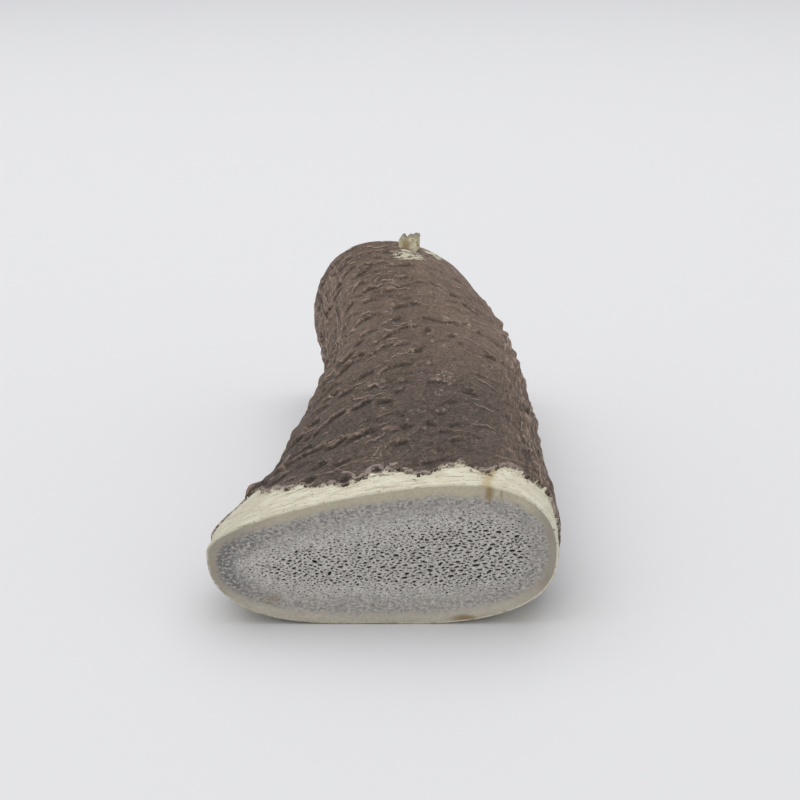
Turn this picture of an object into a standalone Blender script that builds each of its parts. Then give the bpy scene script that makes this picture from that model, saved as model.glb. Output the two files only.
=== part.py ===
"""A sawn length of deer antler, lying on its side.

The beam runs along +Y, away from the wide oval front cut.  The front end is a
broad flattened oval that flares to the left, the back end is nearly round.
The whole piece is one grown bone, so it is one solid: the ridged bark, the
scraped band behind the front cut and the small splinter left where the saw
broke through at the back cut belong to it.

Metres, +Z up.  Origin: middle of the footprint, on the surface it lies on.
"""
import math

import bpy
import bmesh
import numpy as np

MM = 0.001

# ---------------------------------------------------------------- dimensions
LENGTH = 118.0        # front cut to back cut
EDGE_FRONT = 0.55     # rounding of the sanded front rim
EDGE_BACK = 0.25      # rounding of the rougher back rim
N_AROUND = 96         # points round the beam
N_ALONG = 44          # rings between the two rims

# Cross-sections along the beam, all in mm.  cz is the height of the widest
# line above the table.  The outline above it is (top + skew * c) high, where
# c runs from -1 at the left edge to +1 at the right edge, and below it is
# (bottom) deep.  The four last columns are the squareness of each quarter:
# 2 is an ellipse, more is boxier, less is more pointed.
#  y      cx     cz    half_w  top   skew  bottom  TL    TR    BL    BR
SECTIONS = (
    (0,   -2.95, 12.0, 26.95, 10.5,  4.4, 12.0, 2.30, 2.45, 2.75, 2.60),
    (8,   -2.3,  11.6, 27.5,  11.4,  4.4, 11.7, 2.10, 2.38, 2.95, 2.90),
    (18,  -0.7,  11.6, 25.9,  12.8,  4.1, 11.6, 1.95, 2.30, 2.75, 2.80),
    (30,   1.1,  12.0, 23.6,  14.0,  3.3, 11.5, 1.92, 2.18, 2.35, 2.45),
    (50,   2.9,  13.0, 21.8,  15.0,  1.9, 12.0, 1.92, 2.05, 2.20, 2.25),
    (70,   4.2,  14.3, 20.0,  15.8,  0.4, 13.2, 1.98, 1.99, 2.15, 2.15),
    (88,   3.9,  15.6, 19.0,  16.4, -1.0, 14.7, 2.05, 1.94, 2.10, 2.10),
    (104,  1.9,  16.6, 18.6,  16.8, -2.0, 16.2, 2.14, 1.88, 2.05, 2.10),
    (118, -0.2,  17.1, 18.5,  17.1, -2.5, 17.1, 2.24, 1.83, 2.04, 2.10),
)

# A shallow hollow runs back along the middle of the wide end's underside, so
# the piece stands on two low swellings there and on the round back end.
HOLLOW_DEPTH = 0.62           # mm
HOLLOW_HALF_WIDTH = 0.31      # as a share of the half width
HOLLOW_CENTRE = 13.0          # mm behind the front cut
HOLLOW_REACH = 17.0           # mm along the beam

# Bark relief, in mm: long ridges that wind slowly round the beam, and the
# lumps between them.  It fades out towards both cuts and on the underside.
RIDGE_HEIGHT = 0.26
LUMP_HEIGHT = 0.14
RELIEF_FADE = 7.0

# Splinter at the top of the back cut, in mm, as seen from the front: the
# outline of a thin flake, (across, up) from its root on the rim.
SPLINTER_AT = (1.9, 33.0)      # x and z of the middle of its root
SPLINTER_LEAN = 0.30           # how far it leans back for each mm up
SPLINTER_ROOT_T = 1.5          # thickness at the root
SPLINTER_TIP_T = 0.7           # thickness at the tip
SPLINTER_OUTLINE = (
    (-2.2, -1.6), (2.2, -1.6), (2.1, 0.4), (2.3, 1.3), (2.8, 2.2), (2.5, 2.9),
    (1.5, 3.0), (0.7, 2.5), (-0.2, 2.7), (-0.8, 2.1), (-1.4, 1.2), (-2.0, 0.2),
)

BONE = (0.20, 0.155, 0.125)    # grey-brown bark


# ------------------------------------------------------------------- surface
def section_values(y):
    """Smooth curves through the columns of SECTIONS, at height y (an array)."""
    table = np.array(SECTIONS, dtype=float)
    ys, cols = table[:, 0], table[:, 1:]
    steps = np.diff(ys)
    slopes = np.diff(cols, axis=0) / steps[:, None]
    tangents = np.empty_like(cols)
    tangents[0], tangents[-1] = slopes[0], slopes[-1]
    for i in range(1, len(ys) - 1):
        before, after = steps[i - 1], steps[i]
        tangents[i] = (slopes[i - 1] * after + slopes[i] * before) / (before + after)
    y = np.clip(y, ys[0], ys[-1])
    i = np.clip(np.searchsorted(ys, y, side="right") - 1, 0, len(ys) - 2)
    h = steps[i]
    s = (y - ys[i]) / h
    s, h = s[..., None], h[..., None]
    return ((2 * s**3 - 3 * s**2 + 1) * cols[i] + (s**3 - 2 * s**2 + s) * h * tangents[i]
            + (3 * s**2 - 2 * s**3) * cols[i + 1] + (s**3 - s**2) * h * tangents[i + 1])


def relief(angle, y):
    """Height of the bark over the smooth beam, in mm."""
    ridges = np.sin(11 * angle + 0.9 * np.sin(y / 21.0) + y / 34.0)
    ridges = ridges * (0.65 + 0.35 * np.sin(y / 9.0 + 3 * angle))
    lumps = (np.sin(5 * angle - y / 7.9 + 1.1) * np.sin(y / 5.3 + 2.0 * np.sin(2 * angle))
             + np.sin(8 * angle + y / 6.1) * np.sin(y / 9.7 + 1.7 * np.sin(3 * angle + 0.6)))
    ends = np.clip(np.minimum(y, LENGTH - y) / RELIEF_FADE, 0, 1)
    ends = ends * ends * (3 - 2 * ends)
    under = np.clip(0.85 + 1.15 * np.sin(angle), 0, 1)
    return (RIDGE_HEIGHT * ridges + LUMP_HEIGHT * lumps) * ends * under


def underside_hollow(u, y):
    """Depth of the shallow hollow under the wide end, in mm."""
    across = np.exp(-(u / HOLLOW_HALF_WIDTH) ** 2)
    along = np.exp(-((y - HOLLOW_CENTRE) / HOLLOW_REACH) ** 2)
    return HOLLOW_DEPTH * across * along


def beam_point(angle, y, inset=0.0):
    """x and z on the beam at an angle round it (0 is +X, 90 deg is up)."""
    v = section_values(y)
    cx, cz, half_w, top, skew, bottom, tl, tr, bl, br = [v[..., k] for k in range(10)]
    c, s = np.cos(angle), np.sin(angle)
    right = 0.5 + 0.5 * c
    power = np.where(s > 0, tl + (tr - tl) * right, bl + (br - bl) * right)
    reach = (np.abs(c) ** power + np.abs(s) ** power) ** (-1.0 / power)
    u, w = c * reach, s * reach
    grow = relief(angle, y) - inset
    x = cx + (half_w + grow) * u
    below = bottom + grow - underside_hollow(u, y)
    z = cz + np.where(s > 0, top + skew * u + grow, below) * w
    return x, z


def ring_positions():
    """y of every ring: two close ones at each rim, the rest evenly spaced."""
    inner = np.linspace(EDGE_FRONT, LENGTH - EDGE_BACK, N_ALONG)
    return np.concatenate(([0.0], inner, [LENGTH]))


def beam_rings():
    angles = np.linspace(0, 2 * math.pi, N_AROUND, endpoint=False)
    ys = ring_positions()
    rings = []
    for k, y in enumerate(ys):
        inset = EDGE_FRONT if k == 0 else EDGE_BACK if k == len(ys) - 1 else 0.0
        row = np.full_like(angles, y)
        x, z = beam_point(angles, row, inset)
        rings.append(np.stack((x, row, z), axis=1))
    return np.array(rings)


def rest_plane(points):
    """The three low points that the piece stands on, as z = a + b x + c y:
    one under the back end and one on each side under the front."""
    flat = points.reshape(-1, 3).copy()
    mid = 0.5 * (flat[:, 0].min() + flat[:, 0].max())
    total = np.zeros(3)
    for _ in range(8):
        feet = []
        for zone in (flat[:, 1] > 0.72 * LENGTH,
                     (flat[:, 1] < 0.3 * LENGTH) & (flat[:, 0] < mid - 3),
                     (flat[:, 1] < 0.3 * LENGTH) & (flat[:, 0] > mid + 3)):
            part = flat[zone]
            feet.append(part[np.argmin(part[:, 2])])
        feet = np.array(feet)
        plane = np.linalg.solve(np.column_stack((np.ones(3), feet[:, 0], feet[:, 1])), feet[:, 2])
        flat[:, 2] -= plane[0] + plane[1] * flat[:, 0] + plane[2] * flat[:, 1]
        total += plane
        if np.abs(plane).max() < 1e-7:
            break
    return total


# -------------------------------------------------------------------- meshes
def clear_scene():
    for obj in list(bpy.data.objects):
        bpy.data.objects.remove(obj, do_unlink=True)


def new_object(name, bm):
    mesh = bpy.data.meshes.new(name)
    bmesh.ops.recalc_face_normals(bm, faces=bm.faces)
    bm.to_mesh(mesh)
    bm.free()
    obj = bpy.data.objects.new(name, mesh)
    bpy.context.scene.collection.objects.link(obj)
    return obj


def beam_mesh(rings):
    """Bridge the rings with quads, and close each cut with a flat fan."""
    bm = bmesh.new()
    rows = [[bm.verts.new(p * MM) for p in ring] for ring in rings]
    for low, high in zip(rows, rows[1:]):
        for i in range(N_AROUND):
            j = (i + 1) % N_AROUND
            bm.faces.new((low[i], high[i], high[j], low[j]))
    for row in (rows[0], rows[-1]):
        hub = sum((v.co for v in row), start=row[0].co * 0) / len(row)
        centre = bm.verts.new(hub)
        for i in range(N_AROUND):
            bm.faces.new((row[i], row[(i + 1) % N_AROUND], centre))
    return bm


def splinter_mesh():
    """A thin leaning flake whose root is buried in the beam's rim."""
    bm = bmesh.new()
    tip = max(up for _, up in SPLINTER_OUTLINE)
    root = min(up for _, up in SPLINTER_OUTLINE)
    fronts, backs = [], []
    for across, up in SPLINTER_OUTLINE:
        share = (up - root) / (tip - root)
        half = 0.5 * (SPLINTER_ROOT_T + (SPLINTER_TIP_T - SPLINTER_ROOT_T) * share)
        y = LENGTH - 0.9 + SPLINTER_LEAN * (up - root)
        x, z = SPLINTER_AT[0] + across, SPLINTER_AT[1] + up
        fronts.append(bm.verts.new((x * MM, (y - half) * MM, z * MM)))
        backs.append(bm.verts.new((x * MM, (y + half) * MM, z * MM)))
    bm.faces.new(fronts)
    bm.faces.new(list(reversed(backs)))
    n = len(fronts)
    for i in range(n):
        j = (i + 1) % n
        bm.faces.new((fronts[j], fronts[i], backs[i], backs[j]))
    bmesh.ops.triangulate(bm, faces=bm.faces)
    return bm


def settle_and_centre(obj, plane):
    """Stand the mesh on z = 0 and put the origin in the footprint's middle."""
    mesh = obj.data
    co = np.empty(len(mesh.vertices) * 3)
    mesh.vertices.foreach_get("co", co)
    co = co.reshape(-1, 3)
    co[:, 2] -= (plane[0] * MM + plane[1] * co[:, 0] + plane[2] * co[:, 1])
    low, high = co.min(axis=0), co.max(axis=0)
    co -= np.array((0.5 * (low[0] + high[0]), 0.5 * (low[1] + high[1]), low[2]))
    mesh.vertices.foreach_set("co", co.ravel())
    mesh.update()


def bone_material():
    mat = bpy.data.materials.new("antler_bone")
    mat.use_nodes = True
    shader = mat.node_tree.nodes["Principled BSDF"]
    shader.inputs["Base Color"].default_value = (*BONE, 1.0)
    shader.inputs["Roughness"].default_value = 0.72
    shader.inputs["Metallic"].default_value = 0.0
    return mat


def build():
    clear_scene()
    rings = beam_rings()
    plane = rest_plane(rings)
    antler = new_object("antler", beam_mesh(rings))
    flake = new_object("splinter_cutter", splinter_mesh())
    join = antler.modifiers.new("splinter", "BOOLEAN")
    join.operation = "UNION"
    join.solver = "EXACT"
    join.object = flake
    bpy.context.view_layer.update()
    depsgraph = bpy.context.evaluated_depsgraph_get()
    joined = bpy.data.meshes.new_from_object(antler.evaluated_get(depsgraph))
    antler.modifiers.clear()
    antler.data = joined
    bpy.data.objects.remove(flake, do_unlink=True)
    settle_and_centre(antler, plane)
    antler.data.materials.clear()
    antler.data.materials.append(bone_material())
    antler.data.shade_smooth()
    antler.data.set_sharp_from_angle(angle=math.radians(35))
    return antler


build()
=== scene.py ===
"""The looks of a sawn length of deer antler lying on its side.

One closed mesh repeats the beam's own sections, with the bark's scoops, ridges
and pearls, the scraped band behind the broad cut, and both cut faces with
their open pores.  Lengths are in millimetres until the mesh is written.
"""
import math

import bpy
import bmesh
import numpy as np
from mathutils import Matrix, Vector
from mathutils.geometry import delaunay_2d_cdt


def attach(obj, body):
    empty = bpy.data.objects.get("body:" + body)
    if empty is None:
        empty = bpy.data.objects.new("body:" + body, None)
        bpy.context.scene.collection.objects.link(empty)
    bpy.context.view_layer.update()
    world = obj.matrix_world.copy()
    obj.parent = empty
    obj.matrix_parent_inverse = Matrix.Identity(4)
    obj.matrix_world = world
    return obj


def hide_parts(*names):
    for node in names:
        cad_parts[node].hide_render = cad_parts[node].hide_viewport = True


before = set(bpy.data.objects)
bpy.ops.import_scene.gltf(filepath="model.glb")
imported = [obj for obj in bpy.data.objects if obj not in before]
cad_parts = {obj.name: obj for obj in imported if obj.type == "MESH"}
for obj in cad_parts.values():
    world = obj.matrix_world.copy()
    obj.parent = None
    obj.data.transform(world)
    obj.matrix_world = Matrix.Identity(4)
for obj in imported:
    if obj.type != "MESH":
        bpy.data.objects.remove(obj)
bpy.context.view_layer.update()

MM = 0.001

# ------------------------------------------------------------------ the beam
# The same sections as the solid model.
LENGTH = 118.0
EDGE_FRONT = 0.55
EDGE_BACK = 0.25
N_AROUND = 96
N_ALONG = 44
#  y      cx     cz    half_w  top   skew  bottom  TL    TR    BL    BR
SECTIONS = (
    (0,   -2.95, 12.0, 26.95, 10.5,  4.4, 12.0, 2.30, 2.45, 2.75, 2.60),
    (8,   -2.3,  11.6, 27.5,  11.4,  4.4, 11.7, 2.10, 2.38, 2.95, 2.90),
    (18,  -0.7,  11.6, 25.9,  12.8,  4.1, 11.6, 1.95, 2.30, 2.75, 2.80),
    (30,   1.1,  12.0, 23.6,  14.0,  3.3, 11.5, 1.92, 2.18, 2.35, 2.45),
    (50,   2.9,  13.0, 21.8,  15.0,  1.9, 12.0, 1.92, 2.05, 2.20, 2.25),
    (70,   4.2,  14.3, 20.0,  15.8,  0.4, 13.2, 1.98, 1.99, 2.15, 2.15),
    (88,   3.9,  15.6, 19.0,  16.4, -1.0, 14.7, 2.05, 1.94, 2.10, 2.10),
    (104,  1.9,  16.6, 18.6,  16.8, -2.0, 16.2, 2.14, 1.88, 2.05, 2.10),
    (118, -0.2,  17.1, 18.5,  17.1, -2.5, 17.1, 2.24, 1.83, 2.04, 2.10),
)
HOLLOW_DEPTH = 0.62
HOLLOW_HALF_WIDTH = 0.31
HOLLOW_CENTRE = 13.0
HOLLOW_REACH = 17.0
RIDGE_HEIGHT = 0.26
LUMP_HEIGHT = 0.14
RELIEF_FADE = 7.0
SPLINTER_AT = (1.9, 33.0)
SPLINTER_REACH = LENGTH - 0.9 + 0.30 * 4.6 + 0.35     # furthest y of the splinter

# --------------------------------------------------------------- visual model
RIM_ROUND = 0.34              # rounding of the front rim
COLUMNS = 320                 # points round the beam
BAND_ROWS = 15                # rings across the scraped band
BARK_ROWS = 199               # rings along the bark
GIRTH = 125.0                 # mm round the beam on the relief map
MAP_STEP = 0.125              # mm, spacing of the relief map


def section_values(y):
    table = np.array(SECTIONS, dtype=float)
    ys, cols = table[:, 0], table[:, 1:]
    steps = np.diff(ys)
    slopes = np.diff(cols, axis=0) / steps[:, None]
    tangents = np.empty_like(cols)
    tangents[0], tangents[-1] = slopes[0], slopes[-1]
    for i in range(1, len(ys) - 1):
        before, after = steps[i - 1], steps[i]
        tangents[i] = (slopes[i - 1] * after + slopes[i] * before) / (before + after)
    y = np.clip(y, ys[0], ys[-1])
    i = np.clip(np.searchsorted(ys, y, side="right") - 1, 0, len(ys) - 2)
    h = steps[i]
    s = (y - ys[i]) / h
    s, h = s[..., None], h[..., None]
    return ((2 * s**3 - 3 * s**2 + 1) * cols[i] + (s**3 - 2 * s**2 + s) * h * tangents[i]
            + (3 * s**2 - 2 * s**3) * cols[i + 1] + (s**3 - s**2) * h * tangents[i + 1])


def solid_relief(angle, y):
    ridges = np.sin(11 * angle + 0.9 * np.sin(y / 21.0) + y / 34.0)
    ridges = ridges * (0.65 + 0.35 * np.sin(y / 9.0 + 3 * angle))
    lumps = (np.sin(5 * angle - y / 7.9 + 1.1) * np.sin(y / 5.3 + 2.0 * np.sin(2 * angle))
             + np.sin(8 * angle + y / 6.1) * np.sin(y / 9.7 + 1.7 * np.sin(3 * angle + 0.6)))
    ends = np.clip(np.minimum(y, LENGTH - y) / RELIEF_FADE, 0, 1)
    ends = ends * ends * (3 - 2 * ends)
    under = np.clip(0.85 + 1.15 * np.sin(angle), 0, 1)
    return (RIDGE_HEIGHT * ridges + LUMP_HEIGHT * lumps) * ends * under


def beam_point(angle, y, grow):
    v = section_values(y)
    cx, cz, half_w, top, skew, bottom, tl, tr, bl, br = [v[..., k] for k in range(10)]
    c, s = np.cos(angle), np.sin(angle)
    right = 0.5 + 0.5 * c
    power = np.where(s > 0, tl + (tr - tl) * right, bl + (br - bl) * right)
    reach = (np.abs(c) ** power + np.abs(s) ** power) ** (-1.0 / power)
    u, w = c * reach, s * reach
    hollow = (HOLLOW_DEPTH * np.exp(-(u / HOLLOW_HALF_WIDTH) ** 2)
              * np.exp(-((y - HOLLOW_CENTRE) / HOLLOW_REACH) ** 2))
    x = cx + (half_w + grow) * u
    z = cz + np.where(s > 0, top + skew * u + grow, bottom + grow - hollow) * w
    return x, z


def solid_rings():
    angles = np.linspace(0, 2 * math.pi, N_AROUND, endpoint=False)
    ys = np.concatenate(([0.0], np.linspace(EDGE_FRONT, LENGTH - EDGE_BACK, N_ALONG), [LENGTH]))
    rings = []
    for k, y in enumerate(ys):
        inset = EDGE_FRONT if k == 0 else EDGE_BACK if k == len(ys) - 1 else 0.0
        row = np.full_like(angles, y)
        x, z = beam_point(angles, row, solid_relief(angles, row) - inset)
        rings.append(np.stack((x, row, z), axis=1))
    return np.array(rings)


def rest_plane(points):
    """The plane through the three low points that the solid stands on."""
    flat = points.reshape(-1, 3).copy()
    mid = 0.5 * (flat[:, 0].min() + flat[:, 0].max())
    total = np.zeros(3)
    for _ in range(8):
        feet = []
        for zone in (flat[:, 1] > 0.72 * LENGTH,
                     (flat[:, 1] < 0.3 * LENGTH) & (flat[:, 0] < mid - 3),
                     (flat[:, 1] < 0.3 * LENGTH) & (flat[:, 0] > mid + 3)):
            part = flat[zone]
            feet.append(part[np.argmin(part[:, 2])])
        feet = np.array(feet)
        plane = np.linalg.solve(np.column_stack((np.ones(3), feet[:, 0], feet[:, 1])), feet[:, 2])
        flat[:, 2] -= plane[0] + plane[1] * flat[:, 0] + plane[2] * flat[:, 1]
        total += plane
        if np.abs(plane).max() < 1e-7:
            break
    return total


RINGS = solid_rings()
PLANE = rest_plane(RINGS)
SHIFT_X = -0.5 * (RINGS[..., 0].min() + RINGS[..., 0].max())
SHIFT_Y = -0.5 * SPLINTER_REACH


def to_world(points):
    """From the sections' own place to the row frame, still in mm."""
    out = np.array(points, dtype=float)
    out[..., 2] -= PLANE[0] + PLANE[1] * out[..., 0] + PLANE[2] * out[..., 1]
    out[..., 0] += SHIFT_X
    out[..., 1] += SHIFT_Y
    return out


class Girth:
    """Turns a share of the way round the beam (0 on top, then to the right)
    into the angle of its section, so that points are evenly spaced."""

    def __init__(self):
        self.ys = np.linspace(0, LENGTH, 96)
        self.shares = np.linspace(0, 1, 1025)
        turn = np.linspace(0.5 * math.pi, -1.5 * math.pi, 1441)
        rows = []
        for y in self.ys:
            x, z = beam_point(turn, np.full_like(turn, y), 0.0)
            walked = np.concatenate(([0], np.cumsum(np.hypot(np.diff(x), np.diff(z)))))
            rows.append(np.interp(self.shares, walked / walked[-1], turn))
        self.table = np.array(rows)

    def angle(self, share, y):
        share = np.mod(share, 1.0)
        fy = np.clip(y / LENGTH, 0, 1) * (len(self.ys) - 1)
        fs = share * (len(self.shares) - 1)
        iy = np.clip(fy.astype(int), 0, len(self.ys) - 2)
        i_s = np.clip(fs.astype(int), 0, len(self.shares) - 2)
        ry, rs = fy - iy, fs - i_s
        t = self.table
        return ((t[iy, i_s] * (1 - rs) + t[iy, i_s + 1] * rs) * (1 - ry)
                + (t[iy + 1, i_s] * (1 - rs) + t[iy + 1, i_s + 1] * rs) * ry)

    def share_of(self, angle_deg, y):
        """Share of the way round for an angle, as a number in -0.5 .. 0.5."""
        row = self.table[int(round(np.clip(y / LENGTH, 0, 1) * (len(self.ys) - 1)))]
        angle = math.radians(angle_deg)
        if angle > 0.5 * math.pi:
            angle -= 2 * math.pi
        share = float(np.interp(-angle, -row, self.shares))
        return share if share <= 0.5 else share - 1.0


GIRTHS = Girth()


def smooth_point(share, y, grow=0.0):
    x, z = beam_point(GIRTHS.angle(share, y), y, grow)
    return np.stack((x, y, z), axis=-1)


def smoothstep(low, high, value):
    t = np.clip((value - low) / (high - low), 0, 1)
    return t * t * (3 - 2 * t)


def noise(across, along, seed, round_cells):
    """Smooth noise in -1 .. 1 on unit cells, repeating every round_cells
    across, so that it closes round the beam."""
    rng = np.random.default_rng(seed)
    low = int(np.floor(along.min())) - 1
    high = int(np.ceil(along.max())) + 2
    values = rng.uniform(-1, 1, (round_cells, high - low + 1))
    a0, b0 = np.floor(across).astype(int), np.floor(along).astype(int)
    fa, fb = across - a0, along - b0
    fa, fb = fa * fa * (3 - 2 * fa), fb * fb * (3 - 2 * fb)
    a0, a1 = np.mod(a0, round_cells), np.mod(a0 + 1, round_cells)
    b0 = b0 - low
    return ((values[a0, b0] * (1 - fa) + values[a1, b0] * fa) * (1 - fb)
            + (values[a0, b0 + 1] * (1 - fa) + values[a1, b0 + 1] * fa) * fb)


def skin_noise(s, y, size_s, size_y, seed):
    """Noise over the bark with cells of about size_s by size_y mm."""
    cells = max(3, int(round(GIRTH / size_s)))
    return noise(s / GIRTH * cells, y / size_y, seed, cells)


# ----------------------------------------------- where bark and band meet
# (angle round the section, mm behind the cut), read along the ragged edge.
BARK_EDGE = (
    (-172, 5.2), (-150, 6.0), (-128, 7.4), (-108, 6.2), (-90, 7.6), (-70, 6.4), (-48, 6.2),
    (-30, 6.6), (-14, 6.8), (4, 7.0), (16, 7.2), (22, 7.6), (28, 8.4), (31, 9.3), (37, 9.0),
    (41, 9.9), (45, 10.3), (48, 9.4), (52, 7.7), (55, 6.6), (58, 5.7), (62, 7.7), (66, 8.6),
    (70, 7.9), (73, 6.9), (76, 5.3), (79, 3.9), (83, 5.7), (87, 7.4), (92, 7.9), (96, 7.1),
    (100, 5.6), (102, 4.8), (107, 5.7), (112, 6.8), (119, 8.8), (126, 10.2), (133, 11.6),
    (140, 13.6), (143, 15.8), (150, 18.4), (156, 18.8), (160, 17.0), (166, 12.4), (173, 8.0),
)


def bark_edge(share):
    """mm behind the cut at which the bark starts, and a smoothed copy."""
    knots = sorted((GIRTHS.share_of(a, 7.0), y) for a, y in BARK_EDGE)
    xs = np.array([k[0] for k in knots])
    ys = np.array([k[1] for k in knots])
    xs = np.concatenate((xs - 1, xs, xs + 1))
    ys = np.concatenate((ys, ys, ys))
    share = np.mod(share + 0.5, 1.0) - 0.5
    line = np.interp(share, xs, ys)
    s = share * GIRTH
    zero = np.zeros_like(s)
    ragged = (0.95 * skin_noise(s, zero, 2.2, 1.0, 11) + 0.75 * skin_noise(s, zero + 3.3, 1.0, 1.0, 12)
              + 0.35 * skin_noise(s, zero + 7.7, 0.5, 1.0, 13))
    wide = np.zeros_like(line)
    total = 0.0
    for step in np.linspace(-0.03, 0.03, 25):
        weight = math.exp(-(step / 0.014) ** 2)
        where = np.mod(share + step + 0.5, 1.0) - 0.5
        wide += weight * np.interp(where, xs, ys)
        total += weight
    return np.maximum(line + ragged, 1.3), wide / total


# ------------------------------------------- ridges picked out in the photo
# Where it shows a dark hollow under a lip: (px right, px down, half width in
# px, mm deep, how much the lip leans up the beam to the right).
SEEN = (
    (384, 401, 9, 0.95, 0.10), (361, 403, 9, 0.85, 0.25), (400, 391, 6, 0.75, 0.0),
    (334, 417, 12, 0.70, 0.45), (400, 425, 10, 0.70, 0.20), (361, 434, 12, 0.90, 0.25),
    (334, 442, 11, 0.80, 0.35), (400, 444, 8, 0.80, 0.15), (303, 455, 18, 0.80, 0.40),
    (347, 459, 7, 0.60, 0.10), (379, 469, 13, 0.95, 0.10), (306, 478, 10, 0.95, 0.10),
    (345, 479, 8, 0.90, 0.30), (402, 411, 4, 0.60, 0.0), (435, 419, 6, 0.75, 0.0),
    (460, 422, 6, 0.55, 0.0), (457, 440, 6, 0.45, 0.0), (440, 448, 6, 0.45, 0.0),
    (438, 383, 8, 0.65, 0.0), (445, 409, 5, 0.60, 0.0), (404, 366, 12, 0.55, 0.25),
    (345, 366, 12, 0.95, 0.55), (330, 397, 9, 0.80, 0.35), (346, 392, 10, 0.75, 0.30),
    (364, 374, 12, 0.65, 0.35), (314, 432, 11, 0.75, 0.40), (287, 463, 10, 0.75, 0.40),
    (400, 304, 9, 0.80, 0.0), (368, 287, 15, 0.70, 0.30), (397, 264, 13, 0.60, 0.0),
    (417, 302, 8, 0.60, -0.25), (352, 305, 8, 0.80, 0.35), (396, 316, 5, 0.70, 0.0),
    (405, 325, 9, 0.60, 0.15), (390, 333, 16, 0.60, 0.30), (357, 342, 7, 0.85, 0.30),
    (417, 348, 7, 0.70, 0.20), (425, 328, 4, 0.65, 0.0), (452, 334, 5, 0.55, 0.0),
    (396, 368, 15, 0.60, 0.30), (340, 361, 14, 1.05, 0.60), (372, 352, 11, 0.65, 0.30),
    (424, 283, 9, 0.50, -0.20), (346, 272, 10, 0.55, 0.35), (385, 276, 12, 0.50, 0.10),
    (365, 318, 10, 0.65, 0.30), (346, 324, 7, 0.70, 0.40), (334, 345, 7, 0.75, 0.50),
)


# Where it shows small pale flecks on the bark: (px right, px down, reach px).
FLECKS = ((379, 452, 8), (364, 437, 7), (444, 377, 10), (445, 406, 5), (383, 409, 5),
          (440, 392, 5), (330, 396, 4), (391, 280, 4), (410, 352, 5), (448, 320, 6))


# Where it shows a thin peeled skin along the lip above the band (px, px).
PEEL = ((343, 472), (349, 472.5), (353, 474), (355, 478), (361, 474), (367, 470), (374, 466),
        (381, 466), (385, 468), (389, 465), (397, 463.5))


def place_seen():
    """The same ridges as (s, y, half width in mm, depth, lean) on the beam,
    found by throwing the smooth surface through the camera, the flecks as
    (s, y, reach in mm) and the peeled skin as (s, y) points."""
    share, y = np.meshgrid(np.linspace(-0.34, 0.34, 340), np.linspace(3.0, 117.0, 457), indexing="ij")
    at = smooth_point(share, y)
    pitch = math.radians(18.0)
    back, up = at[..., 1] + 249.0, at[..., 2] - 118.0
    away = back * math.cos(pitch) - up * math.sin(pitch)
    u = 400 + 1750 * at[..., 0] / away
    v = 400 - 1750 * (back * math.sin(pitch) + up * math.cos(pitch)) / away
    placed = []
    for px, py, half, deep, lean in SEEN:
        cost = np.hypot(u - px, v - py) + 0.02 * away
        i, j = np.unravel_index(np.argmin(cost), cost.shape)
        placed.append((share[i, j] * GIRTH, y[i, j], half * away[i, j] / 1750, deep, lean))
    flecks = []
    for px, py, reach in FLECKS:
        cost = np.hypot(u - px, v - py) + 0.02 * away
        i, j = np.unravel_index(np.argmin(cost), cost.shape)
        flecks.append((share[i, j] * GIRTH, y[i, j], reach * away[i, j] / 1750))
    peel = []
    for px, py in PEEL:
        cost = np.hypot(u - px, v - py) + 0.02 * away
        i, j = np.unravel_index(np.argmin(cost), cost.shape)
        peel.append((share[i, j] * GIRTH, y[i, j]))
    return placed, flecks, peel


SEEN_AT, FLECKS_AT, PEEL_AT = place_seen()


def near_line(s, y, points):
    """Distance in mm from (s, y) to a line through the points."""
    best = np.full(np.shape(s), 99.0)
    for (s0, y0), (s1, y1) in zip(points, points[1:]):
        ds, dy = s1 - s0, y1 - y0
        t = np.clip(((s - s0) * ds + (y - y0) * dy) / (ds * ds + dy * dy + 1e-9), 0, 1)
        best = np.minimum(best, np.hypot(s - s0 - t * ds, (y - y0 - t * dy) * 0.7))
    return best


# --------------------------------------------------------------- relief maps
def blur(field, width):
    """Gaussian blur of a relief map by width mm; the map closes round s."""
    reach = int(math.ceil(2.6 * width / MAP_STEP))
    steps = np.arange(-reach, reach + 1)
    weights = np.exp(-0.5 * (steps * MAP_STEP / width) ** 2)
    weights /= weights.sum()
    once = sum(w * np.roll(field, k, axis=0) for k, w in zip(steps, weights))
    padded = np.pad(once, ((0, 0), (reach, reach)), mode="edge")
    return sum(w * padded[:, reach + k:reach + k + field.shape[1]] for k, w in zip(steps, weights))


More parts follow.
